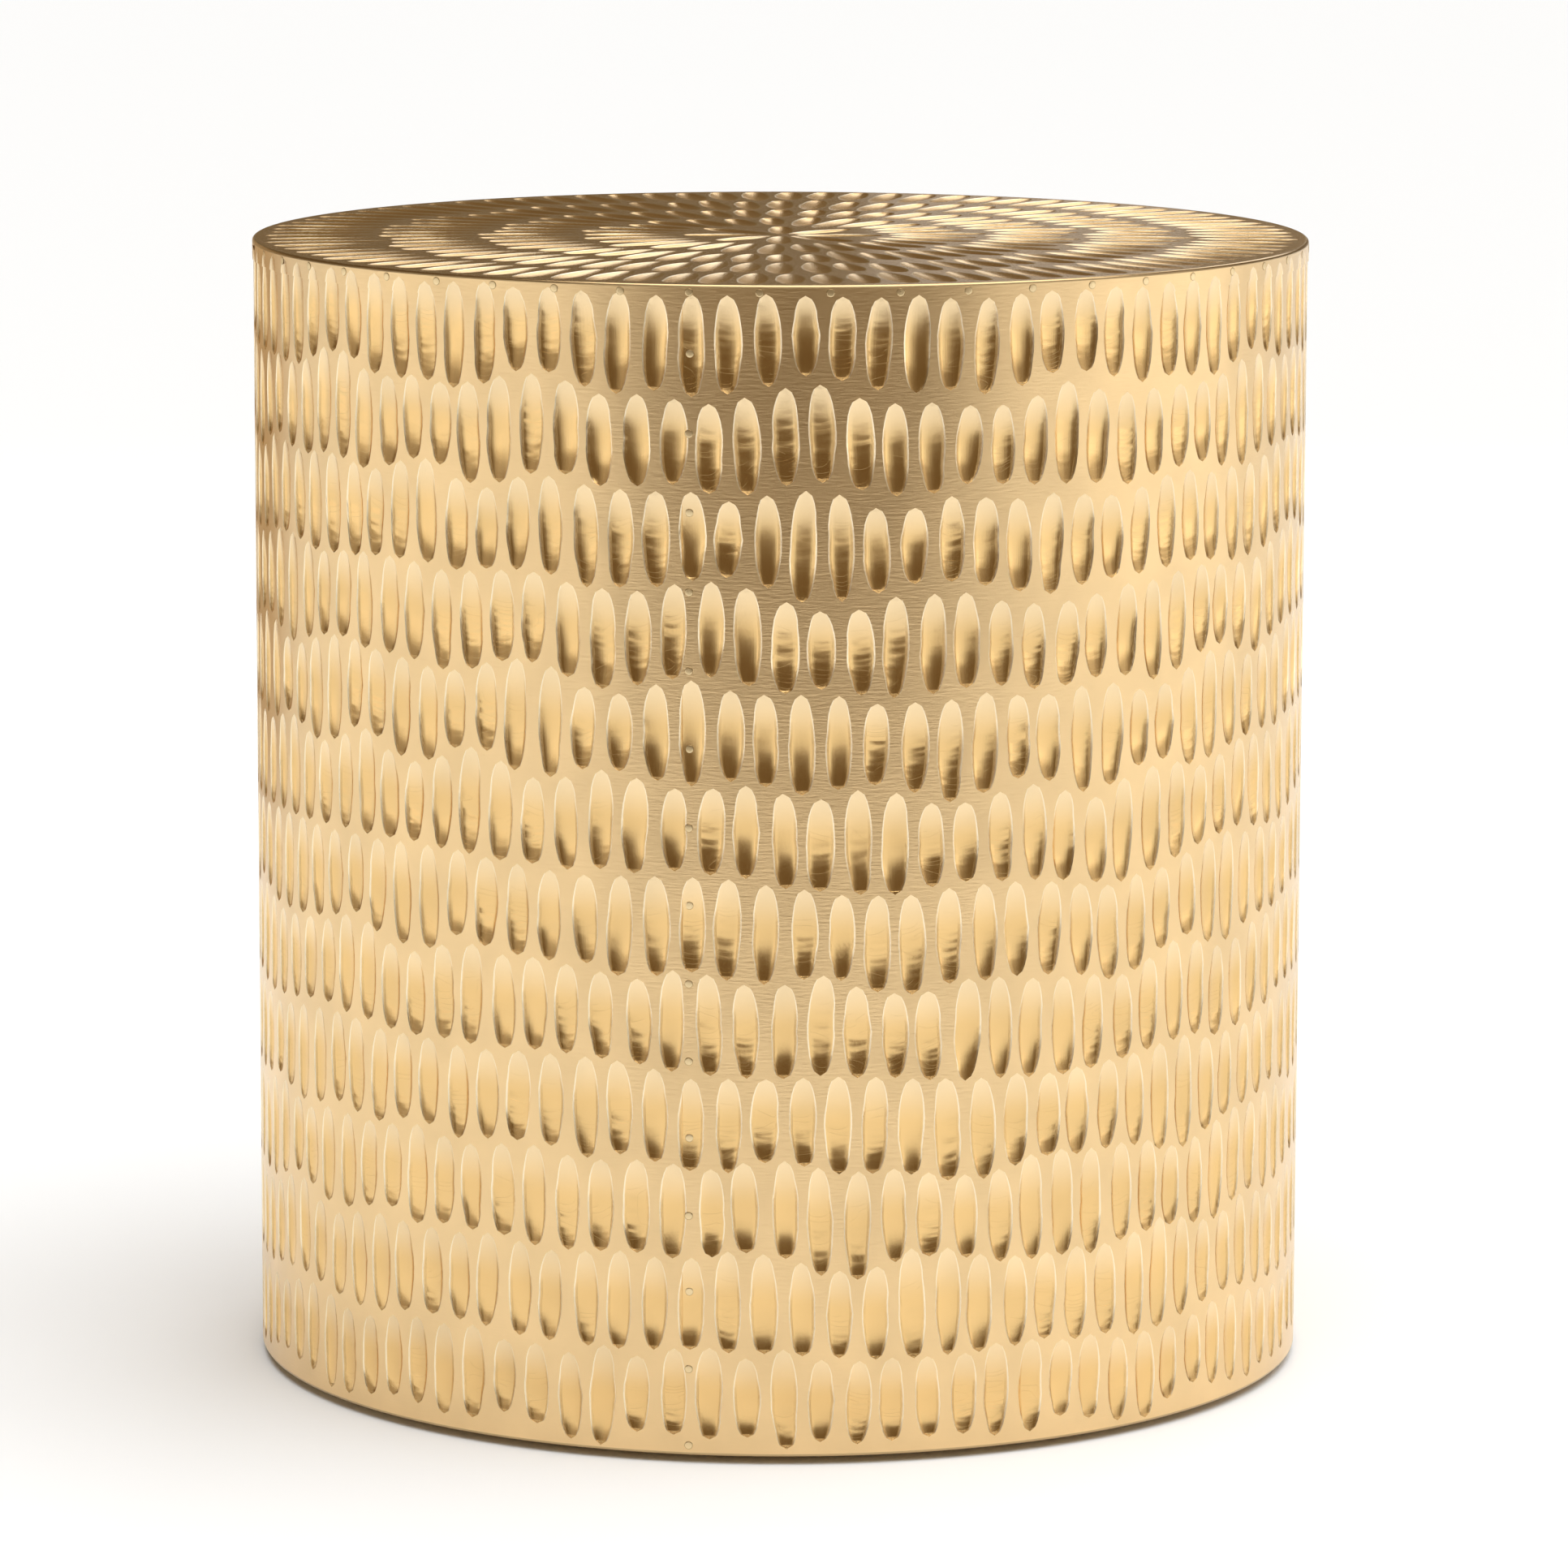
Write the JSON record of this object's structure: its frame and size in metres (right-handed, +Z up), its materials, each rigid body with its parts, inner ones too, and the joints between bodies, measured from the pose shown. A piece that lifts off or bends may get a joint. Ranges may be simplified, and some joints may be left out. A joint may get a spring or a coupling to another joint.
{
  "type": "drum side table",
  "caption": "Closed upright drum side table: a plywood drum clad in beaten brass sheet, pinned round the rim and down the lap seams, on low nylon glides.",
  "frame": {"origin": "on the floor, under the middle of the drum", "axes": "+Z up along the drum's axis; the front, with its lap seam a little to the left, faces -Y"},
  "size_m": [0.421, 0.4208, 0.45],
  "materials": {
    "beaten_brass": "beaten, satin polished",
    "pin_brass": "polished pin heads",
    "birch_plywood": "sanded birch plywood",
    "pine_posts": "planed pine",
    "zinc_steel": "zinc plated",
    "nylon": "moulded nylon"
  },
  "bodies": {
    "root": {"top_sheet": "beaten_brass", "side_sheet_left": "beaten_brass", "side_sheet_right": "beaten_brass", "rim_pins": "pin_brass", "front_seam_pins": "pin_brass", "back_seam_pins": "pin_brass", "hem_pins": "pin_brass", "wall_front": "birch_plywood", "wall_back": "birch_plywood", "top_board": "birch_plywood", "base_panel": "birch_plywood", "top_hoop": "birch_plywood", "middle_hoop": "birch_plywood", "base_hoop": "birch_plywood", "upright_1": "pine_posts", "upright_2": "pine_posts", "upright_3": "pine_posts", "upright_4": "pine_posts", "upright_5": "pine_posts", "upright_6": "pine_posts", "upright_7": "pine_posts", "upright_8": "pine_posts", "top_hoop_brads": "zinc_steel", "middle_hoop_brads": "zinc_steel", "base_hoop_brads": "zinc_steel", "top_board_screws": "zinc_steel", "upright_top_screws": "zinc_steel", "upright_base_screws": "zinc_steel", "base_panel_screws": "zinc_steel", "glide_nails": "zinc_steel", "glide_1": "nylon", "glide_2": "nylon", "glide_3": "nylon", "glide_4": "nylon"}
  },
  "joints": []
}
